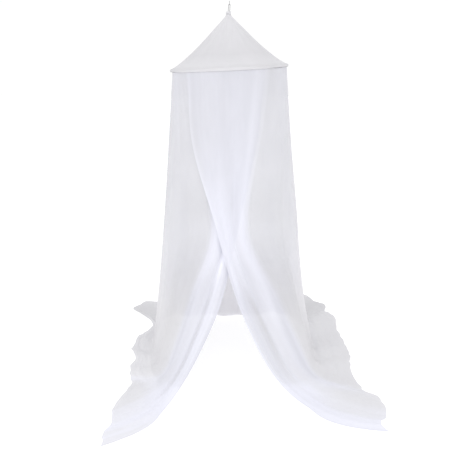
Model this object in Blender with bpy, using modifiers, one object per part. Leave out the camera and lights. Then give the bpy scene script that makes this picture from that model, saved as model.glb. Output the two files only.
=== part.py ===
"""Mosquito net canopy: a net hung from one ceiling point and spread by a hoop.

A small ring carries a knotted cord loop. The loop comes out of the gathered neck of
a cone of net, and the cone's lower edge is turned round a hoop as its casing. One
long sheet hangs from the casing. Its two front edges overlap at the front, cross at
the waist, are drawn aside as two gathered legs, and lie out over the floor.

Frame: the hoop's axis is Z and the front opening faces -Y. Heights are worked out
above the floor, and at the end the whole canopy is lowered by HANG_HEIGHT, so that
the top of the ring's eye, where the ceiling hook bears, is the origin.
All sizes are in metres and all angles in degrees from the front, towards +X.
"""

import math
from typing import NamedTuple

import bpy
import numpy as np

# ---------------------------------------------------------------- named sizes

HOOP_HEIGHT = 1.542  # the hoop's centre above the floor
HOOP_RADIUS = 0.293  # to the middle of the rod
HOOP_ROD_RADIUS = 0.004
HOOP_TILT = 2.7  # the hoop hangs a little higher on the +X side
HOOP_SEGMENTS, HOOP_ROD_SEGMENTS = 96, 12

CLOTH_THICKNESS = 0.0015
CASING_RADIUS = 0.0068  # of the cloth turned round the rod
CASING_ANGLES = (58, 20, -18, -56, -94, -130)  # round the rod, 0 is outward
CONE_COLUMNS = 44
CONE_TIP_SHIFT = -0.004  # the neck hangs slightly off the hoop's middle
CONE_GATHERS = 12
CONE_SCALLOPS = 5

TIE_HEIGHT = 0.2555  # above the hoop
TIE_RADIUS, TIE_CORD_RADIUS = 0.0136, 0.0012

LOOP_CORD_RADIUS = 0.0015
LOOP_HALF_WIDTH = 0.0036
LOOP_BOTTOM, LOOP_TOP = 0.236, 0.301  # above the hoop
LOOP_LEAN = 0.005  # the loop's top leans this far to the +X side
KNOT_RADIUS, KNOT_HEIGHT = 0.0072, 0.236

RING_RADIUS, RING_WIRE_RADIUS = 0.009, 0.0011
RING_DROP = 0.0029  # from the loop's top cord to the ring wire under it
RING_HEIGHT = HOOP_HEIGHT + LOOP_TOP - RING_DROP + RING_RADIUS
HANG_HEIGHT = RING_HEIGHT + RING_RADIUS - RING_WIRE_RADIUS
HANG_X = CONE_TIP_SHIFT + LOOP_LEAN

NET_TOP_DROP = 0.0084  # from the rod's middle down to the net's sewn edge
NET_TOP_RADIUS = 0.2862
NET_LAP = 0.010  # between the two layers where they overlap under the hoop
CHEST_LAP = 0.07  # share of its radius by which the lapped layers part at the chest
CHEST_HEIGHT, WAIST_HEIGHT, KNEE_HEIGHT = 1.30, 0.80, 0.42
FLOOR_CLEARANCE = 0.0012  # the lying cloth's mid surface above the floor
FLOOR_FLATTENING = 0.45  # share of their height that the folds lose by the hem
TROUGH_LIMIT = 0.012  # the deepest trough, which ends where the cloth lies flat
FRONT_COLUMN, BACK_COLUMN = 3.0, 5.2  # degrees of hoop to a column of the net


class ConeRow(NamedTuple):
    """One section of the cone, from its tip down."""

    radius: float
    height: float  # above the hoop
    gather: float  # depth of the gathers
    sag: float  # depth of the slack between the pulled lines


CONE_ROWS = (
    ConeRow(0.0150, 0.2690, 0.0016, 0.0),
    ConeRow(0.0126, 0.2620, 0.0006, 0.0),
    ConeRow(0.0106, 0.2555, 0.0, 0.0),
    ConeRow(0.0150, 0.2470, 0.0006, 0.0),
    ConeRow(0.0330, 0.2270, 0.0020, 0.001),
    ConeRow(0.0700, 0.1900, 0.0034, 0.003),
    ConeRow(0.1180, 0.1420, 0.0040, 0.006),
    ConeRow(0.1700, 0.0940, 0.0036, 0.007),
    ConeRow(0.2150, 0.0570, 0.0028, 0.006),
    ConeRow(0.2530, 0.0290, 0.0016, 0.004),
    ConeRow(0.2790, 0.0130, 0.0006, 0.001),
)


class Station(NamedTuple):
    """One line down the net, by the hoop angle it hangs from."""

    hoop: float
    lap: float  # 0 on the inner layer, 1 on the outer one
    waist_x: float
    waist_y: float
    knee_x: float
    knee_y: float
    foot_x: float
    foot_y: float
    pull: float  # how far towards the waist it has moved at the chest
    bow: float  # sideways swing of its lying part
    bend: float  # how far from the foot line it starts to turn flat


# From the front edge of the -X panel, round the back, to the front edge of the
# +X panel, which lies outside it where the two overlap.
STATIONS = (
    Station(36, 0.0, 0.048, -0.312, -0.040, -0.388, -0.238, -0.520, 0.10, 0.066, 0.2),
    Station(20, 0.0, 0.016, -0.317, -0.078, -0.392, -0.262, -0.512, 0.18, 0.044, 0.18),
    Station(0, 0.0, -0.018, -0.320, -0.118, -0.391, -0.290, -0.490, 0.26, 0.022, 0.16),
    Station(-20, 0.1, -0.050, -0.320, -0.158, -0.384, -0.312, -0.462, 0.315, 0.0, 0.13),
    Station(-42, 0.3, -0.086, -0.312, -0.197, -0.368, -0.340, -0.425, 0.315, 0.0, 0.1),
    Station(-65, 0.5, -0.235, -0.205, -0.300, -0.250, -0.392, -0.285, 0.315, 0.0, 0.07),
    Station(-95, 0.5, -0.343, 0.010, -0.378, -0.010, -0.425, -0.020, 0.315, 0.0, 0.05),
    Station(-118, 0.5, -0.322, 0.145, -0.352, 0.150, -0.398, 0.180, 0.315, 0.0, 0.05),
    Station(-140, 0.5, -0.250, 0.242, -0.275, 0.262, -0.315, 0.300, 0.315, 0.0, 0.05),
    Station(-180, 0.5, 0.000, 0.315, 0.000, 0.325, -0.005, 0.275, 0.315, 0.0, 0.05),
    Station(-220, 0.5, 0.250, 0.250, 0.280, 0.275, 0.325, 0.318, 0.315, 0.0, 0.05),
    Station(-242, 0.5, 0.338, 0.155, 0.372, 0.165, 0.425, 0.190, 0.315, 0.0, 0.05),
    Station(-265, 0.5, 0.368, 0.010, 0.404, -0.005, 0.456, -0.015, 0.315, 0.0, 0.05),
    Station(-295, 0.6, 0.262, -0.205, 0.338, -0.250, 0.450, -0.290, 0.315, 0.0, 0.07),
    Station(-320, 0.8, 0.088, -0.322, 0.246, -0.372, 0.436, -0.415, 0.315, 0.0, 0.1),
    Station(-342, 0.9, 0.048, -0.338, 0.190, -0.388, 0.392, -0.440, 0.30, 0.0, 0.13),
    Station(-360, 1.0, 0.012, -0.346, 0.138, -0.398, 0.338, -0.470, 0.24, -0.028, 0.16),
    Station(-380, 1.0, -0.026, -0.348, 0.080, -0.404, 0.282, -0.492, 0.16, -0.058, 0.18),
    Station(-402, 1.0, -0.066, -0.344, 0.044, -0.402, 0.245, -0.505, 0.08, -0.086, 0.2),
)


class HemPoint(NamedTuple):
    """Where the bottom hem lies on the floor, by hoop angle."""

    hoop: float
    x: float
    y: float


HEM = (
    HemPoint(36, -0.548, -0.930),
    HemPoint(22, -0.560, -0.845),
    HemPoint(8, -0.535, -0.775),
    HemPoint(-8, -0.560, -0.700),
    HemPoint(-24, -0.528, -0.560),
    HemPoint(-38, -0.500, -0.445),
    HemPoint(-54, -0.526, -0.365),
    HemPoint(-70, -0.520, -0.200),
    HemPoint(-84, -0.552, -0.065),
    HemPoint(-100, -0.515, 0.095),
    HemPoint(-114, -0.478, 0.225),
    HemPoint(-128, -0.618, 0.408),
    HemPoint(-141, -0.540, 0.525),
    HemPoint(-156, -0.330, 0.545),
    HemPoint(-172, -0.140, 0.600),
    HemPoint(-190, 0.080, 0.560),
    HemPoint(-206, 0.300, 0.610),
    HemPoint(-219, 0.535, 0.628),
    HemPoint(-229, 0.595, 0.530),
    HemPoint(-238, 0.648, 0.462),
    HemPoint(-247, 0.634, 0.388),
    HemPoint(-256, 0.668, 0.290),
    HemPoint(-270, 0.662, 0.060),
    HemPoint(-288, 0.668, -0.120),
    HemPoint(-306, 0.648, -0.350),
    HemPoint(-322, 0.668, -0.505),
    HemPoint(-338, 0.722, -0.575),
    HemPoint(-356, 0.734, -0.690),
    HemPoint(-376, 0.690, -0.775),
    HemPoint(-402, 0.712, -0.835),
)


class Fold(NamedTuple):
    """One soft ridge down the net, or a trough where its depths are negative."""

    hoop: float  # where it starts
    half_width: float  # degrees of hoop
    top: float  # its height off the cloth under the hoop
    waist: float
    floor: float
    drift: float  # degrees it wanders by on the way down


FOLDS = (
    Fold(25, 12, 0.001, 0.005, 0.009, 0),
    Fold(7, 9, 0.0, -0.003, -0.009, -2),
    Fold(-18, 24, 0.001, 0.007, 0.016, 1),
    Fold(-52, 12, 0.003, 0.008, 0.016, -3),
    Fold(-74, 11, 0.004, 0.012, 0.022, 2),
    Fold(-97, 12, 0.003, 0.007, 0.014, 4),
    Fold(-120, 12, 0.003, 0.012, 0.026, -2),
    Fold(-141, 11, 0.003, 0.008, 0.018, 3),
    Fold(-164, 12, 0.004, 0.013, 0.022, -3),
    Fold(-188, 13, 0.003, 0.008, 0.014, 2),
    Fold(-211, 12, 0.004, 0.012, 0.024, 0),
    Fold(-233, 11, 0.003, 0.009, 0.016, -3),
    Fold(-255, 12, 0.003, 0.013, 0.022, 2),
    Fold(-278, 12, 0.004, 0.009, 0.018, -2),
    Fold(-301, 12, 0.003, 0.011, 0.020, 3),
    Fold(-342, 24, 0.001, 0.007, 0.017, 0),
    Fold(-369, 8, 0.0, -0.003, -0.010, 4),
    Fold(-388, 13, 0.001, 0.005, 0.009, 0),
)


class NetRow(NamedTuple):
    """One level of the net: how far down it hangs, then how far out it lies."""

    down: float
    out: float


NET_ROWS = (
    NetRow(0.0, 0.0),
    NetRow(0.16, 0.0),
    NetRow(0.28, 0.0),
    NetRow(0.39, 0.0),
    NetRow(0.48, 0.0),
    NetRow(0.56, 0.0),
    NetRow(0.64, 0.0),
    NetRow(0.72, 0.0),
    NetRow(0.80, 0.0),
    NetRow(0.87, 0.0),
    NetRow(0.925, 0.0),
    NetRow(0.965, 0.0),
    NetRow(0.99, 0.0),
    NetRow(1.0, 0.12),
    NetRow(1.0, 0.34),
    NetRow(1.0, 0.58),
    NetRow(1.0, 0.80),
    NetRow(1.0, 1.0),
)


class Finish(NamedTuple):
    """A piece's plain surface."""

    color: tuple
    roughness: float
    metallic: float


NET_FINISH = Finish((0.90, 0.90, 0.93, 1.0), 0.85, 0.0)
CONE_FINISH = Finish((0.89, 0.89, 0.91, 1.0), 0.85, 0.0)
CORD_FINISH = Finish((0.82, 0.82, 0.82, 1.0), 0.80, 0.0)
TIE_FINISH = Finish((0.70, 0.70, 0.72, 1.0), 0.80, 0.0)
HOOP_FINISH = Finish((0.50, 0.50, 0.51, 1.0), 0.45, 0.0)
RING_FINISH = Finish((0.55, 0.55, 0.56, 1.0), 0.35, 1.0)


# ---------------------------------------------------------------- helpers


def clear_objects():
    """Empties the file."""
    for piece in list(bpy.data.objects):
        bpy.data.objects.remove(piece, do_unlink=True)


def collection(name):
    """A collection of the scene, by name."""
    group = bpy.data.collections.new(name)
    bpy.context.scene.collection.children.link(group)
    return group


def dress(piece, finish):
    """Gives a piece its own material."""
    material = bpy.data.materials.new(piece.name)
    material.use_nodes = True
    shader = material.node_tree.nodes["Principled BSDF"]
    shader.inputs["Base Color"].default_value = finish.color
    shader.inputs["Roughness"].default_value = finish.roughness
    shader.inputs["Metallic"].default_value = finish.metallic
    piece.data.materials.clear()
    piece.data.materials.append(material)


def smooth_through(places, values, at):
    """A smooth curve through a table's values that never overshoots them."""
    order = np.argsort(places)
    xs = np.asarray(places, float)[order]
    ys = np.asarray(values, float)[order]
    steps = np.diff(xs)
    slopes = np.diff(ys) / steps
    tangents = np.zeros(len(xs))
    tangents[0], tangents[-1] = slopes[0], slopes[-1]
    for i in range(1, len(xs) - 1):
        before, after = slopes[i - 1], slopes[i]
        if before * after > 0:
            tangents[i] = 2 * before * after / (before + after)
    where = np.clip(at, xs[0], xs[-1])
    i = np.clip(np.searchsorted(xs, where, side="right") - 1, 0, len(xs) - 2)
    t = (where - xs[i]) / steps[i]
    return (
        ys[i] * (1 + 2 * t) * (1 - t) ** 2
        + ys[i + 1] * t * t * (3 - 2 * t)
        + steps[i] * (tangents[i] * t * (1 - t) ** 2 - tangents[i + 1] * t * t * (1 - t))
    )


def flowing_through(places, values, at):
    """A rounder curve through a table's values, for outlines that swing."""
    order = np.argsort(places)
    xs = np.asarray(places, float)[order]
    ys = np.asarray(values, float)[order]
    tangents = np.gradient(ys, xs)
    where = np.clip(at, xs[0], xs[-1])
    i = np.clip(np.searchsorted(xs, where, side="right") - 1, 0, len(xs) - 2)
    step = xs[i + 1] - xs[i]
    t = (where - xs[i]) / step
    return (
        ys[i] * (1 + 2 * t) * (1 - t) ** 2
        + ys[i + 1] * t * t * (3 - 2 * t)
        + step * (tangents[i] * t * (1 - t) ** 2 - tangents[i + 1] * t * t * (1 - t))
    )


def column_of(table, name):
    """One named column of a table."""
    return [getattr(row, name) for row in table]


def tilt_rise(x):
    """How much higher the tilted hoop is at x."""
    return x * math.tan(math.radians(HOOP_TILT))


def sheet_object(name, grid, closed, group, finish):
    """A cloth of even thickness on a grid of points, rows by columns."""
    rows, columns = len(grid), len(grid[0])
    points = [tuple(point) for row in grid for point in row]
    faces = []
    for row in range(rows - 1):
        for column in range(columns if closed else columns - 1):
            beside = (column + 1) % columns
            here, there = row * columns, (row + 1) * columns
            faces.append((here + column, there + column, there + beside, here + beside))
    mesh = bpy.data.meshes.new(name)
    mesh.from_pydata(points, [], faces)
    mesh.validate()
    piece = bpy.data.objects.new(name, mesh)
    group.objects.link(piece)
    solid = piece.modifiers.new("cloth", "SOLIDIFY")
    solid.thickness = CLOTH_THICKNESS
    solid.offset = 0.0
    solid.use_even_offset = False
    dress(piece, finish)
    return piece


def torus_object(name, radius, wire, segments, wire_segments, group, finish):
    """A round wire or rod bent to a ring about Z."""
    bpy.ops.mesh.primitive_torus_add(
        major_radius=radius,
        minor_radius=wire,
        major_segments=segments,
        minor_segments=wire_segments,
    )
    piece = bpy.context.object
    piece.name = piece.data.name = name
    for owner in list(piece.users_collection):
        owner.objects.unlink(piece)
    group.objects.link(piece)
    dress(piece, finish)
    return piece


# ---------------------------------------------------------------- the cone


def cone_grid():
    """The cone's rows, then its lower edge turned round the rod as the casing."""
    grid = []
    turns = [2 * math.pi * i / CONE_COLUMNS for i in range(CONE_COLUMNS)]
    for row in CONE_ROWS:
        line = []
        for turn in turns:
            gather = 0.5 + 0.5 * math.cos(CONE_GATHERS * turn + 0.6 * math.sin(2 * turn))
            slack = 0.5 + 0.5 * math.cos(CONE_SCALLOPS * turn + 1.1 * math.sin(turn))
            radius = row.radius + row.gather * (gather - 0.5)
            shift = CONE_TIP_SHIFT * (1 - row.radius / HOOP_RADIUS)
            x = radius * math.sin(turn) + shift
            y = -radius * math.cos(turn)
            z = HOOP_HEIGHT + row.height - row.sag * slack + tilt_rise(x)
            line.append((x, y, z))
        grid.append(line)
    for angle in CASING_ANGLES:
        radius = HOOP_RADIUS + CASING_RADIUS * math.cos(math.radians(angle))
        lift = CASING_RADIUS * math.sin(math.radians(angle))
        line = []
        for turn in turns:
            x, y = radius * math.sin(turn), -radius * math.cos(turn)
            line.append((x, y, HOOP_HEIGHT + lift + tilt_rise(x)))
        grid.append(line)
    return grid


# ---------------------------------------------------------------- the net


def net_columns():
    """The hoop angles of the net's columns, closer together at the front."""
    first, last = STATIONS[0].hoop, STATIONS[-1].hoop
    angles = [first]
    while angles[-1] > last:
        front = min(abs(angles[-1]), abs(angles[-1] + 360)) < 48
        angles.append(angles[-1] - (FRONT_COLUMN if front else BACK_COLUMN))
    return np.array(angles) * (first - last) / (first - angles[-1]) + first * (
        1 - (first - last) / (first - angles[-1])
    )


def fold_depths(angles, down):
    """How far the folds push the cloth out, for a row of hoop angles."""
    depths = np.zeros(len(angles))
    waist = 1 - WAIST_HEIGHT / HOOP_HEIGHT
    for fold in FOLDS:
        depth = smooth_through((0.0, waist, 1.0), (fold.top, fold.waist, fold.floor), down)
        away = np.abs(angles - fold.hoop - fold.drift * down) / fold.half_width
        depths += depth * np.where(away < 1, 0.5 + 0.5 * np.cos(np.pi * away), 0)
    return depths


def station_lines(angles):
    """The net's control lines at each hoop angle: top, waist, knee, foot and hem."""
    hoops = column_of(STATIONS, "hoop")
    lap = smooth_through(hoops, column_of(STATIONS, "lap"), angles)
    radius = NET_TOP_RADIUS + NET_LAP * (lap - 0.5)
    turn = np.radians(angles)
    top_x, top_y = radius * np.sin(turn), -radius * np.cos(turn)
    top_z = HOOP_HEIGHT - NET_TOP_DROP - FLOOR_CLEARANCE + tilt_rise(top_x)
    lines = {"top": (top_x, top_y, top_z)}
    pull = smooth_through(hoops, column_of(STATIONS, "pull"), angles)
    for level, height in (("waist", WAIST_HEIGHT), ("knee", KNEE_HEIGHT), ("foot", 0.0)):
        x = smooth_through(hoops, column_of(STATIONS, level + "_x"), angles)
        y = smooth_through(hoops, column_of(STATIONS, level + "_y"), angles)
        lines[level] = (x, y, np.full(len(angles), height))
    apart = 1 + CHEST_LAP * (lap - 0.5)
    chest = [(lines["top"][i] * (1 - pull) + lines["waist"][i] * pull) * apart for i in (0, 1)]
    lines["chest"] = (chest[0], chest[1], np.full(len(angles), CHEST_HEIGHT))
    lines["bow"] = flowing_through(hoops, column_of(STATIONS, "bow"), angles)
    lines["bend"] = smooth_through(hoops, column_of(STATIONS, "bend"), angles)
    hems = column_of(HEM, "hoop")
    x = flowing_through(hems, column_of(HEM, "x"), angles)
    y = flowing_through(hems, column_of(HEM, "y"), angles)
    lines["hem"] = (x, y, np.zeros(len(angles)))
    return lines


def hang(lines, column, height):
    """Where one column of the net hangs at a height."""
    levels = ("foot", "knee", "waist", "chest", "top")
    heights = [lines[level][2][column] for level in levels]
    return [
        float(smooth_through(heights, [lines[level][axis][column] for level in levels], height))
        for axis in (0, 1)
    ]


def bowed(out):
    """The share of its full sideways swing that the lying cloth has, by how far out."""
    start = 0.10
    share = max(0.0, out - start) / (1 - start)
    return math.sin(math.pi * share) ** 2 if share < 0.5 else math.sin(math.pi * share)


def net_point(lines, column, row):
    """One point of the net before its folds, and how far it has turned to lie flat."""
    top = float(lines["top"][2][column])
    bend = float(lines["bend"][column])
    foot = np.array([lines["foot"][0][column], lines["foot"][1][column], 0.0])
    hem = np.array([lines["hem"][0][column], lines["hem"][1][column], 0.0])
    reach = np.linalg.norm(hem - foot)
    along = (hem - foot) / reach
    aside = np.array([-along[1], along[0], 0.0]) * lines["bow"][column]
    place = -top * (1 - row.down) if row.down < 1 else reach * row.out
    if place <= -bend:
        return np.array([*hang(lines, column, -place), -place]), 0.0
    if place >= bend:
        return foot + along * place + aside * bowed(place / reach), 1.0
    turn = (place + bend) / (2 * bend)
    start = np.array([*hang(lines, column, bend), bend])
    end = foot + along * bend + aside * bowed(bend / reach)
    return start * (1 - turn) ** 2 + foot * 2 * turn * (1 - turn) + end * turn**2, turn


def net_grid():
    """The net's rows, hanging and then lying out over the floor."""
    angles = net_columns()
    lines = station_lines(angles)
    grid = []
    for row in NET_ROWS:
        found = [net_point(lines, column, row) for column in range(len(angles))]
        middle = np.array([point for point, turn in found]) + np.array([0.0, 0.0, FLOOR_CLEARANCE])
        turned = np.array([turn for point, turn in found])[:, None]
        across = np.gradient(middle, axis=0)
        outward = np.stack([-across[:, 1], across[:, 0], np.zeros(len(angles))], axis=1)
        outward /= np.linalg.norm(outward, axis=1)[:, None]
        push = outward * (1 - turned) + np.array([[0.0, 0.0, 1.0]]) * turned
        depths = fold_depths(angles, row.down)[:, None] * (1 - FLOOR_FLATTENING * row.out)
        grid.append(middle + push * np.maximum(depths, TROUGH_LIMIT * (turned - 1)))
    return grid


# ---------------------------------------------------------------- hardware


def build_loop(group, cutters):
    """The cord loop and its knot, as one solid."""
    base = np.array([CONE_TIP_SHIFT, 0.0, HOOP_HEIGHT])
    tall = LOOP_TOP - LOOP_BOTTOM
    curve = bpy.data.curves.new("loop_path", "CURVE")
    curve.dimensions = "3D"
    curve.bevel_depth = LOOP_CORD_RADIUS
    curve.bevel_resolution = 3
    spline = curve.splines.new("POLY")
    path = []
    for i in range(9):
        turn = math.pi * i / 8
        path.append((math.cos(turn), tall - LOOP_HALF_WIDTH * (1 - math.sin(turn))))
    for i in range(9):
        turn = math.pi + math.pi * i / 8
        path.append((math.cos(turn), LOOP_HALF_WIDTH * (1 + math.sin(turn))))
    spline.points.add(len(path) - 1)
    for point, (side, up) in zip(spline.points, path):
        x = side * LOOP_HALF_WIDTH + LOOP_LEAN * up / tall
        point.co = (base[0] + x, base[1], base[2] + LOOP_BOTTOM + up, 1.0)
    spline.use_cyclic_u = True
    source = bpy.data.objects.new("loop_path", curve)
    cutters.objects.link(source)
    graph = bpy.context.evaluated_depsgraph_get()
    mesh = bpy.data.meshes.new_from_object(source.evaluated_get(graph))
    bpy.data.objects.remove(source, do_unlink=True)
    piece = bpy.data.objects.new("hanging_loop", mesh)
    group.objects.link(piece)
    bpy.ops.mesh.primitive_uv_sphere_add(
        segments=20,
        ring_count=12,
        radius=KNOT_RADIUS,
        location=(base[0], base[1], base[2] + KNOT_HEIGHT),
    )
    knot = bpy.context.object
    knot.name = "loop_knot"
    knot.scale = (1.0, 0.9, 0.85)
    for owner in list(knot.users_collection):
        owner.objects.unlink(knot)
    cutters.objects.link(knot)
    knot.hide_render = True
    knot.display_type = "WIRE"
    joined = piece.modifiers.new("knot", "BOOLEAN")
    joined.operation = "UNION"
    joined.solver = "EXACT"
    joined.object = knot
    dress(piece, CORD_FINISH)
    return piece


def build_hardware(group, cutters):
    """The hoop, the tie round the cone's neck, the loop and the ring."""
    hoop = torus_object(
        "hoop", HOOP_RADIUS, HOOP_ROD_RADIUS, HOOP_SEGMENTS, HOOP_ROD_SEGMENTS, group, HOOP_FINISH
    )
    hoop.location = (0.0, 0.0, HOOP_HEIGHT)
    hoop.rotation_euler = (0.0, -math.radians(HOOP_TILT), 0.0)
    tie = torus_object("neck_tie", TIE_RADIUS, TIE_CORD_RADIUS, 32, 10, group, TIE_FINISH)
    tie.location = (CONE_TIP_SHIFT, 0.0, HOOP_HEIGHT + TIE_HEIGHT)
    build_loop(group, cutters)
    ring = torus_object("hanging_ring", RING_RADIUS, RING_WIRE_RADIUS, 40, 12, group, RING_FINISH)
    ring.rotation_euler = (0.0, math.radians(90), 0.0)
    ring.location = (HANG_X, 0.0, RING_HEIGHT)


def main():
    """Builds the canopy."""
    clear_objects()
    group = collection("mosquito_net_canopy")
    cutters = collection("cutters")
    cutters.hide_render = True
    build_hardware(group, cutters)
    sheet_object("cone_top", cone_grid(), True, group, CONE_FINISH)
    sheet_object("net_curtain", net_grid(), False, group, NET_FINISH)
    for piece in [*group.objects, *cutters.objects]:
        piece.location.x -= HANG_X
        piece.location.z -= HANG_HEIGHT


main()
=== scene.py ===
"""Looks of the mosquito net canopy: sheer net on a hoop, spread over the floor."""

import logging
import math
from dataclasses import dataclass
from enum import Enum
from typing import NamedTuple, Sequence

import bmesh
import bpy
import numpy as np
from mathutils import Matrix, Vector


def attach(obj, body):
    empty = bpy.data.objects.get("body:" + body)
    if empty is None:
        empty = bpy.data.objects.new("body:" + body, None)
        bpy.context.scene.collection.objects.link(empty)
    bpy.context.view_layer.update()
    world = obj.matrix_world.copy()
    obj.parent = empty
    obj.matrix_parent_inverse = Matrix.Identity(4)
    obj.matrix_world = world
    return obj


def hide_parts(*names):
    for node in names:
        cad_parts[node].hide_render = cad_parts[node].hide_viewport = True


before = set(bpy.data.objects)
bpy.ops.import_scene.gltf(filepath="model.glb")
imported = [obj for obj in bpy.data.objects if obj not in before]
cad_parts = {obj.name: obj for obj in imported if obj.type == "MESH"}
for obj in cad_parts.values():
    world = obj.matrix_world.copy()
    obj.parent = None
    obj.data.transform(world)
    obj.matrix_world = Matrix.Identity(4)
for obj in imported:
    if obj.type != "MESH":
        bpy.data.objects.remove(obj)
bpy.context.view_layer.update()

LOG = logging.getLogger("net_canopy")

FLOOR = -1.857  # the floor, below the ring's eye
HANG_X = 0.001  # the hoop's middle stands this far to the -X side of the origin
HOOP_HEIGHT = 1.542  # the hoop's middle, above the floor
HOOP_TILT = 2.7  # degrees, the +X side up
TIP_SHIFT = -0.004  # the cone's tip stands this far to the -X side of the hoop's middle


# ---------------------------------------------------------------- tables


class Mask(Enum):
    """What the cloth carries at each of its points, for its finish to read."""

    GATHER = "gather"
    HEM = "hem"
    # Layered cloth lying on the floor, and painted shade: the wall's low part made denser and greyer.
    LAYERS_AND_SHADE = "layers"
    # Painted shadow: a dark line painted along the casing's underside, at the seam.
    SEAM = "seam"
    # Painted shading: makes the net's colour lighter or darker where light or shade falls.
    PAINTED_SHADING = "tone"

    @property
    def socket(self) -> str:
        """The name of the net group's input that reads it."""
        return self.value.title()


class Station(NamedTuple):
    """One line down the net, by the hoop angle it hangs from."""

    hoop: float
    lap: float
    waist_x: float
    waist_y: float
    knee_x: float
    knee_y: float
    foot_x: float
    foot_y: float
    pull: float
    bow: float
    bend: float


class HemPoint(NamedTuple):
    """Where the bottom hem lies on the floor, by hoop angle."""

    hoop: float
    x: float
    y: float


class Fold(NamedTuple):
    """One soft ridge down the net."""

    hoop: float
    half_width: float
    top: float
    waist: float
    floor: float
    drift: float


class Crease(NamedTuple):
    """One bold trough or ridge, which wanders across the cloth on its way down; its density puts real
    gathering together with painted shade and light into the colour, and its last column is painted shading.
    """

    start: float
    end: float
    first: float
    settled: float
    last: float
    half_width: float
    depth: float
    # real gathering, together with painted shade in troughs and painted light on ridges
    density: float
    # painted shading: how much lighter or darker the crease paints the colour
    tone: float = 0.0


class Ripple(NamedTuple):
    """One scale of the small soft ripples of loose cloth."""

    seed: int
    cell: float
    start: float
    drift: float
    pace: float
    share: float

    def waves(self, across: np.ndarray, level: np.ndarray) -> np.ndarray:
        """Its waves over the cloth, from -1 to 1.

        Args:
            across: Metres across the cloth, one row.
            level: Each row's place down the cloth, one column.

        Returns:
            The waves, rows by columns.
        """
        along = across / self.cell + self.start + level * self.drift
        return SoftNoise(self.seed).at(along, level * self.pace)


class Lamp(NamedTuple):
    """One soft lamp of the studio, aimed at the canopy."""

    name: str
    place: tuple[float, float, float]
    size: float
    power: float


class ConeRow(NamedTuple):
    """One section of the cone, from its tip down."""

    radius: float
    height: float
    gather: float
    sag: float


STATIONS = (
    Station(36, 0.0, 0.048, -0.312, -0.040, -0.388, -0.238, -0.520, 0.10, 0.066, 0.2),
    Station(20, 0.0, 0.016, -0.317, -0.078, -0.392, -0.262, -0.512, 0.18, 0.044, 0.18),
    Station(0, 0.0, -0.018, -0.320, -0.118, -0.391, -0.290, -0.490, 0.26, 0.022, 0.16),
    Station(-20, 0.1, -0.050, -0.320, -0.158, -0.384, -0.312, -0.462, 0.315, 0.0, 0.13),
    Station(-42, 0.3, -0.086, -0.312, -0.197, -0.368, -0.340, -0.425, 0.315, 0.0, 0.1),
    Station(-65, 0.5, -0.235, -0.205, -0.300, -0.250, -0.392, -0.285, 0.315, 0.0, 0.07),
    Station(-95, 0.5, -0.343, 0.010, -0.378, -0.010, -0.425, -0.020, 0.315, 0.0, 0.05),
    Station(-118, 0.5, -0.322, 0.145, -0.352, 0.150, -0.398, 0.180, 0.315, 0.0, 0.05),
    Station(-140, 0.5, -0.250, 0.242, -0.275, 0.262, -0.315, 0.300, 0.315, 0.0, 0.05),
    Station(-180, 0.5, 0.000, 0.315, 0.000, 0.325, -0.005, 0.275, 0.315, 0.0, 0.05),
    Station(-220, 0.5, 0.250, 0.250, 0.280, 0.275, 0.325, 0.318, 0.315, 0.0, 0.05),
    Station(-242, 0.5, 0.338, 0.155, 0.372, 0.165, 0.425, 0.190, 0.315, 0.0, 0.05),
    Station(-265, 0.5, 0.368, 0.010, 0.404, -0.005, 0.456, -0.015, 0.315, 0.0, 0.05),
    Station(-295, 0.6, 0.262, -0.205, 0.338, -0.250, 0.450, -0.290, 0.315, 0.0, 0.07),
    Station(-320, 0.8, 0.088, -0.322, 0.246, -0.372, 0.436, -0.415, 0.315, 0.0, 0.1),
    Station(-342, 0.9, 0.048, -0.338, 0.190, -0.388, 0.392, -0.440, 0.30, 0.0, 0.13),
    Station(-360, 1.0, 0.012, -0.346, 0.138, -0.398, 0.338, -0.470, 0.24, -0.028, 0.16),
    Station(-380, 1.0, -0.026, -0.348, 0.080, -0.404, 0.282, -0.492, 0.16, -0.058, 0.18),
    Station(-402, 1.0, -0.066, -0.344, 0.044, -0.402, 0.245, -0.505, 0.08, -0.086, 0.2),
)

HEM = (
    HemPoint(36, -0.548, -0.930),
    HemPoint(22, -0.560, -0.845),
    HemPoint(8, -0.535, -0.775),
    HemPoint(-8, -0.560, -0.700),
    HemPoint(-24, -0.528, -0.560),
    HemPoint(-38, -0.500, -0.445),
    HemPoint(-54, -0.526, -0.365),
    HemPoint(-70, -0.520, -0.200),
    HemPoint(-84, -0.552, -0.065),
    HemPoint(-100, -0.515, 0.095),
    HemPoint(-114, -0.478, 0.225),
    HemPoint(-128, -0.618, 0.408),
    HemPoint(-141, -0.540, 0.525),
    HemPoint(-156, -0.330, 0.545),
    HemPoint(-172, -0.140, 0.600),
    HemPoint(-190, 0.080, 0.560),
    HemPoint(-206, 0.300, 0.610),
    HemPoint(-219, 0.535, 0.628),
    HemPoint(-229, 0.595, 0.530),
    HemPoint(-238, 0.648, 0.462),
    HemPoint(-247, 0.634, 0.388),
    HemPoint(-256, 0.668, 0.290),
    HemPoint(-270, 0.662, 0.060),
    HemPoint(-288, 0.668, -0.120),
    HemPoint(-306, 0.648, -0.350),
    HemPoint(-322, 0.668, -0.505),
    HemPoint(-338, 0.722, -0.575),
    HemPoint(-356, 0.734, -0.690),
    HemPoint(-376, 0.690, -0.775),
    HemPoint(-402, 0.712, -0.835),
)

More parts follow.
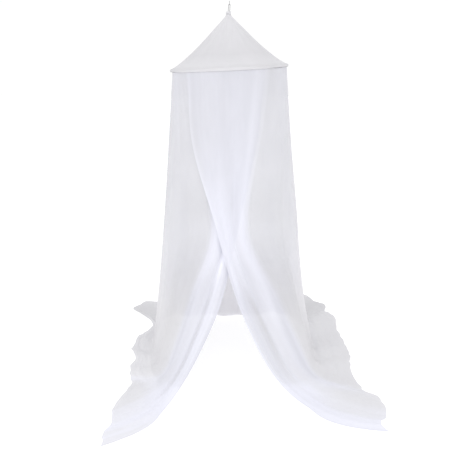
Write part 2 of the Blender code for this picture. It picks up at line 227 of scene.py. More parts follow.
FOLDS = (
    Fold(25, 12, 0.001, 0.005, 0.009, 0),
    Fold(7, 9, 0.0, -0.003, -0.009, -2),
    Fold(-18, 24, 0.001, 0.007, 0.016, 1),
    Fold(-52, 12, 0.003, 0.008, 0.016, -3),
    Fold(-74, 11, 0.004, 0.012, 0.022, 2),
    Fold(-97, 12, 0.003, 0.007, 0.014, 4),
    Fold(-120, 12, 0.003, 0.012, 0.026, -2),
    Fold(-141, 11, 0.003, 0.008, 0.018, 3),
    Fold(-164, 12, 0.004, 0.013, 0.022, -3),
    Fold(-188, 13, 0.003, 0.008, 0.014, 2),
    Fold(-211, 12, 0.004, 0.012, 0.024, 0),
    Fold(-233, 11, 0.003, 0.009, 0.016, -3),
    Fold(-255, 12, 0.003, 0.013, 0.022, 2),
    Fold(-278, 12, 0.004, 0.009, 0.018, -2),
    Fold(-301, 12, 0.003, 0.011, 0.020, 3),
    Fold(-342, 24, 0.001, 0.007, 0.017, 0),
    Fold(-369, 8, 0.0, -0.003, -0.010, 4),
    Fold(-388, 13, 0.001, 0.005, 0.009, 0),
)

# Crease density greys troughs as painted shade and whitens ridges as painted light, on top of real gathering;
# rows with no depth are painted stripes only.
CREASES = (
    Crease(10, 4, 0.62, 0.84, 1.40, 8, 0.0, -0.25, -0.10),
    Crease(-14, -16, 0.56, 0.90, 1.34, 34, 0.0, -0.12, -0.10),
    Crease(6, 12, 0.42, 0.60, 0.74, 9, 0.0, 0.0, 0.42),
    Crease(-372, -378, 0.28, 0.44, 0.68, 11, 0.0, 0.0, 0.07),
    Crease(-350, -354, 0.28, 0.44, 0.84, 14, 0.0, 0.0, -0.05),
    Crease(-86, -84, 0.52, 0.70, 0.98, 28, 0.0, 0.0, 0.11),
    Crease(-278, -278, 0.52, 0.70, 0.98, 26, 0.0, 0.0, 0.13),
    Crease(-322, -326, 0.62, 0.84, 1.24, 15, 0.0, 0.0, -0.11),
    Crease(-40, -37, 0.62, 0.84, 1.10, 12, 0.0, 0.0, -0.11),
    Crease(34, 34, 0.72, 0.90, 1.16, 12, 0.0, 0.0, -0.13),
    Crease(32, 32, 0.56, 0.68, 0.90, 10, 0.0, 0.0, -0.10),
    Crease(-398, -398, 0.52, 0.64, 0.86, 10, 0.0, 0.0, -0.11),
    Crease(-377, -377, 0.50, 0.62, 0.82, 10, 0.0, 0.0, -0.08),
    Crease(-370, -364, 0.66, 0.84, 1.03, 6, 0.0, -0.22, -0.07),
    Crease(-380, -374, 0.62, 0.84, 1.14, 34, 0.0, -0.08, -0.13),
    Crease(-354, -354, 0.52, 0.70, 0.90, 26, 0.0, 0.0, -0.08),
    Crease(-336, -338, 0.72, 0.90, 1.24, 22, 0.0, 0.0, -0.08),
    Crease(-394, -392, 0.70, 0.90, 1.50, 16, 0.0, -0.30, -0.02),
    Crease(-352, -380, 1.02, 1.70, 2.60, 16, 0.005, 0.16),
    Crease(-400, -396, 0.19, 0.34, 0.56, 13, 0.001, 0.06),
    Crease(-352, -350, -0.30, 0.20, 0.56, 30, 0.0, 0.10),
    Crease(-316, -316, -0.30, 0.20, 0.60, 14, 0.0, -0.26),
    Crease(0, 0, -0.30, 0.20, 0.60, 36, 0.0, 0.10),
    Crease(-384, -382, -0.30, 0.20, 0.52, 26, 0.0, 0.0, 0.06),
    Crease(-331, -333, -0.30, 0.20, 0.40, 9, 0.0, 0.0, 0.07),
    Crease(-50, -50, -0.30, 0.20, 0.50, 10, 0.0, -0.12),
    Crease(36, 36, 0.06, 0.30, 0.62, 4, 0.0, 0.30),
    Crease(28, 24, 0.95, 1.25, 3.00, 66, 0.0, 0.44, 0.08),
    Crease(-390, -386, 0.95, 1.25, 3.00, 56, 0.0, 0.40, 0.06),
    Crease(-52, -54, 0.30, 0.80, 0.98, 22, 0.0, 0.0, -0.09),
    Crease(-305, -308, 0.30, 0.80, 0.98, 26, 0.0, 0.0, -0.08),
    Crease(-180, -180, 0.52, 0.90, 1.30, 92, 0.0, 0.0, 0.36),
    Crease(-50, -50, 1.10, 1.60, 2.60, 46, 0.0, 0.0, 0.08),
    Crease(-128, -128, 0.95, 1.30, 2.60, 22, 0.0, 0.0, -0.14),
    Crease(-232, -232, 0.95, 1.30, 2.60, 22, 0.0, 0.0, -0.14),
)

CONE_ROWS = (
    ConeRow(0.0132, 0.2675, 0.0014, 0.0),
    ConeRow(0.0120, 0.2615, 0.0006, 0.0),
    ConeRow(0.0106, 0.2555, 0.0, 0.0),
    ConeRow(0.0150, 0.2470, 0.0006, 0.0),
    ConeRow(0.0330, 0.2270, 0.0020, 0.001),
    ConeRow(0.0700, 0.1900, 0.0034, 0.003),
    ConeRow(0.1180, 0.1420, 0.0040, 0.006),
    ConeRow(0.1700, 0.0940, 0.0036, 0.007),
    ConeRow(0.2150, 0.0570, 0.0028, 0.006),
    ConeRow(0.2530, 0.0290, 0.0016, 0.004),
    ConeRow(0.2790, 0.0130, 0.0006, 0.001),
)

WALL_RIPPLES = (
    Ripple(5, 0.075, 40, 0.0, 2.2, 1.0),
    Ripple(9, 0.034, 40, 0.0, 4.0, 0.5),
)

FLOOR_RIPPLES = (
    Ripple(12, 0.12, 60, 2.0, 16.0, 1.0),
    Ripple(17, 0.06, 60, 0.0, 26.0, 0.4),
)

HEM_SCALLOPS = (
    Ripple(21, 0.028, 0, 0.0, 0.0, 0.006),
    Ripple(27, 0.075, 0, 0.0, 0.0, 0.012),
)

LAMPS = (
    Lamp("key", (-1.5, -3.4, FLOOR + 2.6), 2.0, 19.0),
    Lamp("fill", (1.6, -3.2, FLOOR + 2.2), 2.0, 10.0),
)


# ---------------------------------------------------------------- curves through tables


def flowing_through(places: Sequence[float], values: Sequence[float], at: np.ndarray) -> np.ndarray:
    """A round curve through a table's values.

    Args:
        places: Where the values stand, in any order.
        values: The table's values.
        at: Where the curve is wanted.

    Returns:
        The curve's value at each place asked for.
    """
    order = np.argsort(places)
    xs, ys = np.asarray(places, float)[order], np.asarray(values, float)[order]
    return hermite(xs, ys, np.gradient(ys, xs), at)


def smooth_through(places: Sequence[float], values: Sequence[float], at: np.ndarray) -> np.ndarray:
    """A curve through a table's values that never overshoots them.

    Args:
        places: Where the values stand, in any order.
        values: The table's values.
        at: Where the curve is wanted.

    Returns:
        The curve's value at each place asked for.
    """
    order = np.argsort(places)
    xs, ys = np.asarray(places, float)[order], np.asarray(values, float)[order]
    slopes = np.diff(ys) / np.diff(xs)
    tangents = np.zeros(len(xs))
    tangents[0], tangents[-1] = slopes[0], slopes[-1]
    for i in range(1, len(xs) - 1):
        before, after = slopes[i - 1], slopes[i]
        if before * after > 0:
            tangents[i] = 2 * before * after / (before + after)
    return hermite(xs, ys, tangents, at)


def hermite(xs: np.ndarray, ys: np.ndarray, tangents: np.ndarray, at: np.ndarray) -> np.ndarray:
    """A cubic curve with given tangents.

    Args:
        xs: Places, rising.
        ys: Values there.
        tangents: Slopes there.
        at: Where the curve is wanted.

    Returns:
        The curve's value at each place asked for.
    """
    where = np.clip(at, xs[0], xs[-1])
    i = np.clip(np.searchsorted(xs, where, side="right") - 1, 0, len(xs) - 2)
    step = xs[i + 1] - xs[i]
    t = (where - xs[i]) / step
    return (
        ys[i] * (1 + 2 * t) * (1 - t) ** 2
        + ys[i + 1] * t * t * (3 - 2 * t)
        + step * (tangents[i] * t * (1 - t) ** 2 - tangents[i + 1] * t * t * (1 - t))
    )


def column_of(table: Sequence[NamedTuple], name: str) -> list[float]:
    """One named column of a table."""
    return [getattr(row, name) for row in table]


def ramp(value: np.ndarray, start: float, reach: float) -> np.ndarray:
    """A straight rise from 0 at the start to 1 one reach further on, held outside it."""
    return np.clip((value - start) / reach, 0.0, 1.0)


def round_bump(away: np.ndarray) -> np.ndarray:
    """A round bump, 1 in its middle and 0 from one half width out."""
    return np.where(away < 1, 0.5 + 0.5 * np.cos(np.pi * away), 0)


def on_ring(radius: float | np.ndarray, turn: np.ndarray) -> tuple[np.ndarray, np.ndarray]:
    """The x and y of places a radius out, turned from the front towards +X."""
    return radius * np.sin(turn), -radius * np.cos(turn)


def standing(x: np.ndarray, y: np.ndarray, height: float | np.ndarray) -> np.ndarray:
    """Points over the given places, at one height or at a height each."""
    return np.stack([x, y, np.broadcast_to(height, x.shape)], axis=-1)


class SoftNoise:
    """Smooth noise on a plane, the same at every run."""

    def __init__(self, seed: int) -> None:
        """Draws the lattice.

        Args:
            seed: The lattice's seed.
        """
        self.lattice = np.random.default_rng(seed).uniform(-1, 1, (64, 64))

    def at(self, x: np.ndarray, y: np.ndarray) -> np.ndarray:
        """The noise at points of the plane, from -1 to 1.

        Args:
            x: First coordinates, in cells.
            y: Second coordinates, in cells.

        Returns:
            The noise there.
        """
        ix, iy = np.floor(x).astype(int), np.floor(y).astype(int)
        tx, ty = x - ix, y - iy
        tx, ty = tx * tx * (3 - 2 * tx), ty * ty * (3 - 2 * ty)
        a = self.lattice[ix % 64, iy % 64]
        b = self.lattice[(ix + 1) % 64, iy % 64]
        c = self.lattice[ix % 64, (iy + 1) % 64]
        d = self.lattice[(ix + 1) % 64, (iy + 1) % 64]
        return (a * (1 - tx) + b * tx) * (1 - ty) + (c * (1 - tx) + d * tx) * ty


# ---------------------------------------------------------------- node tools


class Nodes:
    """Adds and links nodes in one tree, left to right."""

    def __init__(self, tree: bpy.types.NodeTree) -> None:
        """Keeps the tree.

        Args:
            tree: The node tree to fill.
        """
        self.tree = tree
        self.count = 0

    def add(self, kind: str, **inputs: object) -> bpy.types.Node:
        """Adds a node, and sets or links its inputs by name.

        Args:
            kind: The node's type name.
            **inputs: Values or sockets, with spaces in names as underscores.

        Returns:
            The new node.
        """
        node = self.tree.nodes.new(kind)
        node.location = (self.count * 60 - 900, -(self.count % 5) * 160)
        self.count += 1
        for name, value in inputs.items():
            self.feed(node, name.replace("_", " "), value)
        return node

    def feed(self, node: bpy.types.Node, name: str | int, value: object) -> None:
        """Sets or links one input.

        Args:
            node: The node that is fed.
            name: The input's name or number.
            value: A value or an output socket.
        """
        socket = node.inputs[name]
        if isinstance(value, bpy.types.NodeSocket):
            self.tree.links.new(value, socket)
        else:
            socket.default_value = value

    def math(self, operation: str, a: object, b: object = 0.0, clamp: bool = False) -> bpy.types.NodeSocket:
        """A Math node's result.

        Args:
            operation: The operation's name.
            a: First value or socket.
            b: Second value or socket.
            clamp: Whether the result is held between 0 and 1.

        Returns:
            The output socket.
        """
        node = self.add("ShaderNodeMath")
        node.operation = operation
        node.use_clamp = clamp
        self.feed(node, 0, a)
        self.feed(node, 1, b)
        return node.outputs[0]

    def remap(
        self, value: object, low: float, high: float, to_low: float, to_high: float
    ) -> bpy.types.NodeSocket:
        """A value moved from one range to another, and held there.

        Args:
            value: The socket to remap.
            low: The start of its range.
            high: The end of its range.
            to_low: What the start becomes.
            to_high: What the end becomes.

        Returns:
            The output socket.
        """
        node = self.add("ShaderNodeMapRange")
        for name, number in (("From Min", low), ("From Max", high), ("To Min", to_low), ("To Max", to_high)):
            node.inputs[name].default_value = number
        self.feed(node, "Value", value)
        return node.outputs["Result"]

    def between(self, share: object, low: object, high: object) -> bpy.types.NodeSocket:
        """A value between two, by a share from 0 to 1.

        Args:
            share: The share of the second.
            low: First value or socket.
            high: Second value or socket.

        Returns:
            The output socket.
        """
        node = self.add("ShaderNodeMapRange", Value=share)
        self.feed(node, "To Min", low)
        self.feed(node, "To Max", high)
        return node.outputs["Result"]

    def mix(self, factor: object, a: object, b: object) -> bpy.types.NodeSocket:
        """A colour between two.

        Args:
            factor: The share of the second.
            a: First colour or socket.
            b: Second colour or socket.

        Returns:
            The output socket.
        """
        node = self.add("ShaderNodeMix")
        node.data_type = "RGBA"
        self.feed(node, 0, factor)
        self.feed(node, 6, a)
        self.feed(node, 7, b)
        return node.outputs[2]

    def noise(self, vector: object, scale: float, detail: float = 2.0) -> bpy.types.NodeSocket:
        """A noise value.

        Args:
            vector: Where it is read.
            scale: Its fineness.
            detail: Its octaves.

        Returns:
            The output socket.
        """
        node = self.add("ShaderNodeTexNoise", Vector=vector, Scale=scale, Detail=detail)
        return node.outputs["Fac"]

    def scaled(self, colour: object, factor: object) -> bpy.types.NodeSocket:
        """A colour made lighter or darker.

        Args:
            colour: The colour's socket.
            factor: What it is multiplied by.

        Returns:
            The output socket.
        """
        node = self.add("ShaderNodeVectorMath")
        node.operation = "SCALE"
        self.feed(node, 0, colour)
        self.feed(node, "Scale", factor)
        return node.outputs["Vector"]

    def stretched(self, vector: object, x: float, y: float, z: float = 1.0) -> bpy.types.NodeSocket:
        """Coordinates scaled along each axis.

        Args:
            vector: The coordinates.
            x: Scale along the first.
            y: Scale along the second.
            z: Scale along the third.

        Returns:
            The output socket.
        """
        node = self.add("ShaderNodeMapping", Vector=vector)
        node.inputs["Scale"].default_value = (x, y, z)
        return node.outputs["Vector"]


def new_group(name: str, takes: dict[str, str], gives: dict[str, str]) -> bpy.types.NodeTree:
    """A shader node group with named sockets.

    Args:
        name: The group's name.
        takes: Input names and their socket kinds.
        gives: Output names and their socket kinds.

    Returns:
        The empty group.
    """
    tree = bpy.data.node_groups.new(name, "ShaderNodeTree")
    for label, kind in takes.items():
        tree.interface.new_socket(name=label, in_out="INPUT", socket_type="NodeSocket" + kind)
    for label, kind in gives.items():
        tree.interface.new_socket(name=label, in_out="OUTPUT", socket_type="NodeSocket" + kind)
    tree.nodes.new("NodeGroupInput")
    tree.nodes.new("NodeGroupOutput")
    return tree


@dataclass(frozen=True)
class NetWeave:
    """What all net cloth shares: fine holes, faint streaks and patches, layered cloth greyed as painted
    shade, a painted shadow line at the seam, and painted shading.
    """

    holes: float = 520.0
    streaks: tuple[float, float] = (12.0, 0.9)
    patches: tuple[float, float] = (5.0, 3.5)
    streak_gather: float = 0.06
    hem_gather: float = 0.12
    patch_cover: float = 0.03
    # how much more opaque the painted shadow line below the casing makes the cloth
    seam_shadow_cover: float = 0.2
    hole_cover: float = 0.03
    hole_depth: float = 0.4

    def group(self) -> bpy.types.NodeTree:
        """Builds the group.

        Returns:
            The group. Its Vector is in metres across and down the cloth.
        """
        tree = new_group(
            "net_weave",
            {
                "Vector": "Vector",
                **{mask.socket: "Float" for mask in Mask},
                "Thin Color": "Color",
                "Dense Color": "Color",
                "Layered Color": "Color",
                "Seam Color": "Color",
                "Thin Cover": "Float",
                "Dense Cover": "Float",
                "Layered Cover": "Float",
            },
            {"Color": "Color", "Alpha": "Float", "Height": "Float", "Roughness": "Float"},
        )
        nodes = Nodes(tree)
        given = tree.nodes["Group Input"].outputs
        calm = nodes.remap(given["Gather"], 0.15, 0.75, 1.0, 0.04)
        streak = nodes.noise(nodes.stretched(given["Vector"], *self.streaks), 1.0, 2.0)
        patch = nodes.noise(nodes.stretched(given["Vector"], *self.patches), 1.0, 3.0)
        threads = nodes.add("ShaderNodeTexVoronoi", Vector=given["Vector"], Scale=self.holes)
        threads.feature = "DISTANCE_TO_EDGE"
        hole = nodes.remap(threads.outputs["Distance"], 0.04, 0.22, 0.0, 1.0)

        streaked = nodes.remap(streak, 0.3, 0.7, -self.streak_gather, self.streak_gather)
        gather = nodes.math("ADD", given["Gather"], nodes.math("MULTIPLY", streaked, calm))
        hemmed = nodes.math("MULTIPLY", given["Hem"], self.hem_gather)
        gather = nodes.math("ADD", gather, hemmed, clamp=True)

        single = nodes.between(gather, given["Thin Cover"], given["Dense Cover"])
        # Layered cloth and painted shade make the net more opaque.
        layered = nodes.between(given["Layers"], single, given["Layered Cover"])
        patched = nodes.remap(patch, 0.3, 0.7, -self.patch_cover, self.patch_cover)
        alpha = nodes.math("ADD", nodes.math("MAXIMUM", single, layered), patched)
        # The painted shadow line below the casing is made more opaque.
        alpha = nodes.math("ADD", alpha, nodes.math("MULTIPLY", given["Seam"], self.seam_shadow_cover))
        alpha = nodes.math("SUBTRACT", alpha, nodes.math("MULTIPLY", hole, self.hole_cover), clamp=True)

        colour = nodes.mix(gather, given["Thin Color"], given["Dense Color"])
        # Layered cloth and painted shade turn the colour greyer.
        folded = nodes.math("MULTIPLY", given["Layers"], calm)
        colour = nodes.mix(folded, colour, given["Layered Color"])
        # Painted shading: the colour is scaled lighter or darker.
        colour = nodes.scaled(colour, nodes.math("ADD", given["Tone"], 1.0))
        # The painted shadow line below the casing, in near black.
        colour = nodes.mix(given["Seam"], colour, given["Seam Color"])

        ridges = nodes.math("MULTIPLY", streak, calm)
        height = nodes.math("ADD", nodes.math("MULTIPLY", hole, -self.hole_depth), ridges)
        rough = nodes.remap(streak, 0.2, 0.8, 0.82, 0.95)
        out = tree.nodes["Group Output"]
        for label, value in (("Color", colour), ("Alpha", alpha), ("Height", height), ("Roughness", rough)):
            nodes.feed(out, label, value)
        return tree


@dataclass(frozen=True)
class NetFinish:
    """White polyester net, thin where it hangs free and denser where it gathers."""

    name: str
    thin_color: tuple[float, float, float]
    dense_color: tuple[float, float, float]
    layered_color: tuple[float, float, float]
    thin_cover: float
    dense_cover: float
    layered_cover: float
    size: tuple[float, float]
    # colour of the painted shadow line below the casing
    seam_shadow_color: tuple[float, float, float] = (0.09, 0.09, 0.10)

    def material(self, weave: bpy.types.NodeTree) -> bpy.types.Material:
        """Builds the material.

        Args:
            weave: The shared net group.

        Returns:
            A sheer white material.
        """
        made = bpy.data.materials.new(self.name)
        made.use_nodes = True
        tree = made.node_tree
        nodes = Nodes(tree)
        shader = tree.nodes["Principled BSDF"]
        layout = nodes.add("ShaderNodeUVMap")
        layout.uv_map = "cut"
        group = nodes.add("ShaderNodeGroup")
        group.node_tree = weave
        nodes.feed(group, "Vector", nodes.stretched(layout.outputs["UV"], self.size[0], self.size[1]))
        for mask in Mask:
            source = nodes.add("ShaderNodeAttribute")
            source.attribute_name = mask.value
            nodes.feed(group, mask.socket, source.outputs["Fac"])
        for label, colour in (
            ("Thin Color", self.thin_color),
            ("Dense Color", self.dense_color),
            ("Layered Color", self.layered_color),
            ("Seam Color", self.seam_shadow_color),
        ):
            nodes.feed(group, label, (*colour, 1.0))
        nodes.feed(group, "Thin Cover", self.thin_cover)
        nodes.feed(group, "Dense Cover", self.dense_cover)
        nodes.feed(group, "Layered Cover", self.layered_cover)
        nodes.feed(shader, "Base Color", group.outputs["Color"])
        nodes.feed(shader, "Alpha", group.outputs["Alpha"])
        nodes.feed(shader, "Roughness", group.outputs["Roughness"])
        bump = nodes.add("ShaderNodeBump", Height=group.outputs["Height"])
        bump.inputs["Strength"].default_value = 0.25
        bump.inputs["Distance"].default_value = 0.0006
        nodes.feed(shader, "Normal", bump.outputs["Normal"])
        shader.inputs["Specular IOR Level"].default_value = 0.2
        shader.inputs["Sheen Weight"].default_value = 0.15
        shader.inputs["Sheen Roughness"].default_value = 0.5
        return made


@dataclass(frozen=True)
class PlainFinish:
    """A cord, plastic or wire surface with fine grain."""

    name: str
    color: tuple[float, float, float]
    roughness: float
    metallic: float = 0.0
    grain: float = 300.0
    depth: float = 0.0002

    def material(self) -> bpy.types.Material:
        """Builds the material.

        Returns:
            The finished material.
        """
        made = bpy.data.materials.new(self.name)
        made.use_nodes = True
        nodes = Nodes(made.node_tree)
        shader = made.node_tree.nodes["Principled BSDF"]
        place = nodes.add("ShaderNodeTexCoord").outputs["Object"]
        grain = nodes.noise(place, self.grain, 3.0)
        darker = tuple(0.82 * part for part in self.color)
        colour = nodes.mix(nodes.remap(grain, 0.35, 0.65, 0.0, 1.0), (*self.color, 1.0), (*darker, 1.0))
        nodes.feed(shader, "Base Color", colour)
        rough = nodes.remap(grain, 0.3, 0.7, self.roughness - 0.08, self.roughness + 0.08)
        nodes.feed(shader, "Roughness", rough)
        shader.inputs["Metallic"].default_value = self.metallic
        bump = nodes.add("ShaderNodeBump", Height=grain)
        bump.inputs["Distance"].default_value = self.depth
        bump.inputs["Strength"].default_value = 0.4
        nodes.feed(shader, "Normal", bump.outputs["Normal"])
        return made


# ---------------------------------------------------------------- the studio


@dataclass
class Studio:
    """Pale floor, soft lights and the camera."""

    floor_color: tuple[float, float, float] = (0.55, 0.55, 0.55)
    floor_glow: float = 0.62
    camera_back: float = 2.968
    camera_height: float = 1.609
    camera_aside: float = -0.0218
    pitch: float = 16.87
    lens: float = 45.11
    sensor: float = 36.0
    paper_size: float = 40.0
    paper_drop: float = 0.0005
    room_light: float = 1.02
    aim_height: float = 0.7

    def build(self) -> None:
        """Builds the floor, the lights and the camera."""
        self.camera()
        self.sweep()
        self.lights()

    def camera(self) -> None:
        """Stands the camera at eye height in front of the canopy."""
        data = bpy.data.cameras.new("view")
        data.lens = self.lens
        data.sensor_width = self.sensor
        piece = bpy.data.objects.new("view", data)
        piece.location = (self.camera_aside, -self.camera_back, FLOOR + self.camera_height)
        piece.rotation_euler = (math.radians(90 - self.pitch), 0.0, 0.0)
        bpy.context.scene.collection.objects.link(piece)
        bpy.context.scene.camera = piece

    def sweep(self) -> None:
        """A wide sheet of pale paper on the floor."""
        bpy.ops.object.select_all(action="DESELECT")
        place = (0.0, 0.0, FLOOR - self.paper_drop)
        bpy.ops.mesh.primitive_plane_add(size=self.paper_size, location=place)
        piece = bpy.context.object
        piece.name = piece.data.name = "floor"
        made = bpy.data.materials.new("floor_paper")
        made.use_nodes = True
        shader = made.node_tree.nodes["Principled BSDF"]
        shader.inputs["Base Color"].default_value = (*self.floor_color, 1.0)
        shader.inputs["Roughness"].default_value = 0.9
        shader.inputs["Emission Color"].default_value = (1.0, 1.0, 1.0, 1.0)
        shader.inputs["Emission Strength"].default_value = self.floor_glow
        piece.data.materials.append(made)

    def lights(self) -> None:
        """A soft key in front, and even light all round."""
        world = bpy.data.worlds.new("room")
        bpy.context.scene.world = world
        world.use_nodes = True
        back = world.node_tree.nodes["Background"]
        back.inputs["Color"].default_value = (1.0, 1.0, 1.0, 1.0)
        back.inputs["Strength"].default_value = self.room_light
        for lamp in LAMPS:
            data = bpy.data.lights.new(lamp.name, "AREA")
            data.energy = lamp.power
            data.size = lamp.size
            piece = bpy.data.objects.new(lamp.name, data)
            piece.location = lamp.place
            aim = Vector((0.0, 0.0, FLOOR + self.aim_height)) - Vector(lamp.place)
            piece.rotation_euler = aim.to_track_quat("-Z", "Y").to_euler()
            bpy.context.scene.collection.objects.link(piece)
        bpy.context.scene.view_settings.view_transform = "Standard"


# ---------------------------------------------------------------- cloth


def cloth_piece(
    name: str, grid: np.ndarray, closed: bool, masks: dict[Mask, np.ndarray], finish: bpy.types.Material
) -> bpy.types.Object:
    """A sheet on a grid of points, with its cut's layout and its masks.

    Args:
        name: The piece's name.
        grid: Points, rows by columns by three.
        closed: Whether the last column joins the first.
        masks: Values for each point, by mask.
        finish: The cloth's material.

    Returns:
        The new piece.
    """
    rows, columns = grid.shape[:2]
    faces = []
    last = columns if closed else columns - 1
    for row in range(rows - 1):
        here, there = row * columns, (row + 1) * columns
        for column in range(last):
            beside = (column + 1) % columns
            faces.append((here + column, there + column, there + beside, here + beside))
    mesh = bpy.data.meshes.new(name)
    mesh.from_pydata(grid.reshape(-1, 3).tolist(), [], faces)
    layout = mesh.uv_layers.new(name="cut")
    spots = []
    for row in range(rows - 1):
        for column in range(last):
            left, right = column / last, (column + 1) / last
            up, down = row / (rows - 1), (row + 1) / (rows - 1)
            spots += [(left, up), (left, down), (right, down), (right, up)]
    layout.data.foreach_set("uv", np.array(spots, np.float32).ravel())
    for mask, values in masks.items():
        kept = mesh.attributes.new(mask.value, "FLOAT", "POINT")
        kept.data.foreach_set("value", np.ascontiguousarray(values, np.float32).ravel())
    mesh.polygons.foreach_set("use_smooth", [True] * len(mesh.polygons))
    mesh.materials.append(finish)
    mesh.update()
    piece = bpy.data.objects.new(name, mesh)
    bpy.context.scene.collection.objects.link(piece)
    return piece


@dataclass
class NetCurtain:
    """The long net, from the casing to the floor."""

    top_drop: float = 0.0084
    top_radius: float = 0.2862
    lap: float = 0.010
    chest_lap: float = 0.07
    chest: float = 1.30
    waist: float = 0.80
    knee: float = 0.42
    clearance: float = 0.0012
    front_column: float = 0.9
    back_column: float = 1.2
    front_reach: float = 48.0
    hanging_rows: int = 138
    lying_rows: int = 52
    row_crowding: float = 0.97
    straight_start: float = 0.10
    crease_rise: float = 0.12
    crease_fade: float = 0.30
    wall_ripple: float = 0.0034
    floor_ripple: float = 0.0045
    floor_share: float = 0.28
    lying_start: float = 0.12
    loose_spacing: float = 0.0050
    floor_fold_loss: float = 0.45
    deepest_hollow: float = 0.012
    low_start: float = 0.60
    low_reach: float = 0.20
    lying_layers: float = 0.68
    hem_width: float = 0.014
    cut_width: float = 4.3
    finish: NetFinish = NetFinish(
        name="sheer_net",
        thin_color=(0.66, 0.66, 0.70),
        dense_color=(0.735, 0.74, 0.82),
        # layered_color: the greyer colour of layered cloth and of the painted shade on the wall's low part
        layered_color=(0.65, 0.645, 0.668),
        thin_cover=0.62,
        dense_cover=0.92,
        layered_cover=0.95,
        size=(4.3, 2.2),
    )

    def columns(self) -> np.ndarray:
        """The places of the net's columns, closer together at the front.

        Returns:
            Hoop angles, from the first line of the table to the last.
        """
        first, last = STATIONS[0].hoop, STATIONS[-1].hoop
        angles = [float(first)]
        while angles[-1] > last:
            front = min(abs(angles[-1]), abs(angles[-1] + 360)) < self.front_reach
            angles.append(angles[-1] - (self.front_column if front else self.back_column))
        found = np.array(angles)
        return first - (first - found) * (first - last) / (first - found[-1])

    def lines(self, angles: np.ndarray) -> dict[str, np.ndarray]:
        """The control lines at each hoop angle.

        Args:
            angles: Hoop angles.

        Returns:
            Points by level, columns by three, with the bow and the bend of the lying part.
        """
        hoops = column_of(STATIONS, "hoop")
        lap = smooth_through(hoops, column_of(STATIONS, "lap"), angles)
        radius = self.top_radius + self.lap * (lap - 0.5)
        x, y = on_ring(radius, np.radians(angles))
        rise = x * math.tan(math.radians(HOOP_TILT))
        made = {"top": standing(x, y, HOOP_HEIGHT - self.top_drop - self.clearance + rise)}
        for level, height in (("waist", self.waist), ("knee", self.knee), ("foot", 0.0)):
            x = smooth_through(hoops, column_of(STATIONS, level + "_x"), angles)
            y = smooth_through(hoops, column_of(STATIONS, level + "_y"), angles)
            made[level] = standing(x, y, height)
        pull = smooth_through(hoops, column_of(STATIONS, "pull"), angles)[:, None]
        made["chest"] = made["top"] * (1 - pull) + made["waist"] * pull
        made["chest"] *= (1 + self.chest_lap * (lap - 0.5))[:, None]
        made["chest"][:, 2] = self.chest
        made["bow"] = flowing_through(hoops, column_of(STATIONS, "bow"), angles)
        made["bend"] = smooth_through(hoops, column_of(STATIONS, "bend"), angles)
        hems = column_of(HEM, "hoop")
        x = flowing_through(hems, column_of(HEM, "x"), angles)
        y = flowing_through(hems, column_of(HEM, "y"), angles)
        made["hem"] = standing(x, y, 0.0)
        return made

    def middle(self, angles: np.ndarray) -> tuple[np.ndarray, np.ndarray, np.ndarray, np.ndarray]:
        """The net's smooth form, before its folds.

        Args:
            angles: Hoop angles.

        Returns:
            The points, how far each has turned to lie flat, its share of the drop, and
            its share of the way out over the floor.
        """
        lines = self.lines(angles)
        lines["hem"] = self.ragged(lines)
        down = np.linspace(0.0, 1.0, self.hanging_rows) ** self.row_crowding
        out = np.linspace(0.0, 1.0, self.lying_rows + 1)[1:]
        rows = self.hanging_rows + self.lying_rows
        points = np.zeros((rows, len(angles), 3))
        turned = np.zeros((rows, len(angles)))
        levels = ("foot", "knee", "waist", "chest", "top")
        for column in range(len(angles)):
            top, bend = lines["top"][column, 2], float(lines["bend"][column])
            foot, hem = lines["foot"][column], lines["hem"][column]
            reach = float(np.linalg.norm(hem - foot))
            along = (hem - foot) / reach
            place = np.concatenate([-top * (1 - down), reach * out])
            heights = [lines[level][column, 2] for level in levels]
            kept = np.maximum(-place, bend)
            path = [
                smooth_through(heights, [lines[level][column, axis] for level in levels], kept)
                for axis in (0, 1)
            ]
            hanging = standing(*path, kept)
            aside = np.array([-along[1], along[0], 0.0]) * lines["bow"][column]
            lying = foot + along * np.maximum(place, bend)[:, None]
            lying = lying + aside * self.bowed(place / reach)[:, None]
            turn = np.clip((place + bend) / (2 * bend), 0.0, 1.0)
            start = hanging[-1]
            end = foot + along * bend + aside * float(self.bowed(np.array(bend / reach)))
            bending = (
                start * ((1 - turn) ** 2)[:, None]
                + foot * (2 * turn * (1 - turn))[:, None]
                + end * (turn**2)[:, None]
            )
            points[:, column] = np.where(
                (place <= -bend)[:, None], hanging, np.where((place >= bend)[:, None], lying, bending)
            )
            turned[:, column] = turn
        points[:, :, 2] += self.clearance
        down_share = np.concatenate([down, np.ones(self.lying_rows)])
        out_share = np.concatenate([np.zeros(self.hanging_rows), out])
        return points, turned, down_share, out_share

    def bowed(self, out: np.ndarray) -> np.ndarray:
        """How much of its sideways swing the lying cloth has.

        Args:
            out: Shares of the way out from the foot to the hem.

        Returns:
            Shares of the swing, from 0 to 1.
        """
        share = ramp(out, self.straight_start, 1 - self.straight_start)
        swing = np.sin(np.pi * share)
        return np.where(share < 0.5, swing**2, swing)

    def folds(self, angles: np.ndarray, down: np.ndarray) -> np.ndarray:
        """How far the main folds push the cloth out.

        Args:
            angles: Hoop angles.
            down: Each row's share of the drop.

        Returns:
            Depths, rows by columns.
        """
        depths = np.zeros((len(down), len(angles)))
        waist = 1 - self.waist / HOOP_HEIGHT
        for fold in FOLDS:
            depth = smooth_through((0.0, waist, 1.0), (fold.top, fold.waist, fold.floor), down)
            centre = fold.hoop + fold.drift * down
            away = np.abs(angles[None, :] - centre[:, None]) / fold.half_width
            depths += depth[:, None] * round_bump(away)
        return depths

